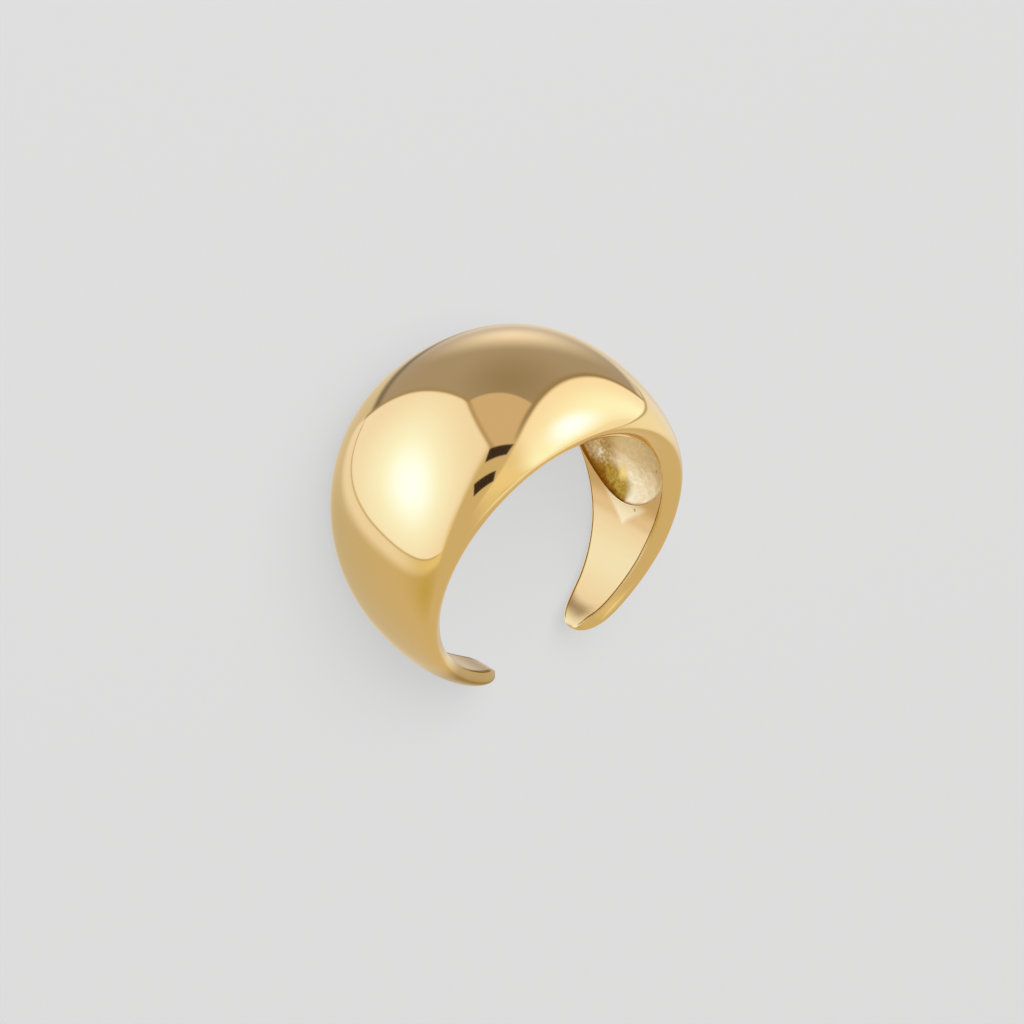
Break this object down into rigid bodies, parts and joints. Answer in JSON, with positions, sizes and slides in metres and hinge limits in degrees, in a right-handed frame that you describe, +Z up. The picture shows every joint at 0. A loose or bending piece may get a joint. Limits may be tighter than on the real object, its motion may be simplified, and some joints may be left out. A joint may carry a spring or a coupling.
{
  "type": "dome ring",
  "caption": "Open finger ring whose narrow band widens into a high polished gold dome, hollow underneath, with rounded tips that leave a gap.",
  "frame": {"origin": "centre of the underside of the box round the ring, on the surface that the ring lies on", "axes": "+X across the finger from one side of the band to the other, -Y towards the crown of the dome, +Z up; the ring lies on one side edge, so its finger hole leans 19.1 degrees from +Z towards +Y"},
  "size_m": [0.0216, 0.0216, 0.0149],
  "materials": {
    "gold": "mirror-polished gold plate outside and on the inner band, duller as-cast gold in the hollow"
  },
  "bodies": {
    "root": {"ring": "gold"}
  },
  "joints": []
}
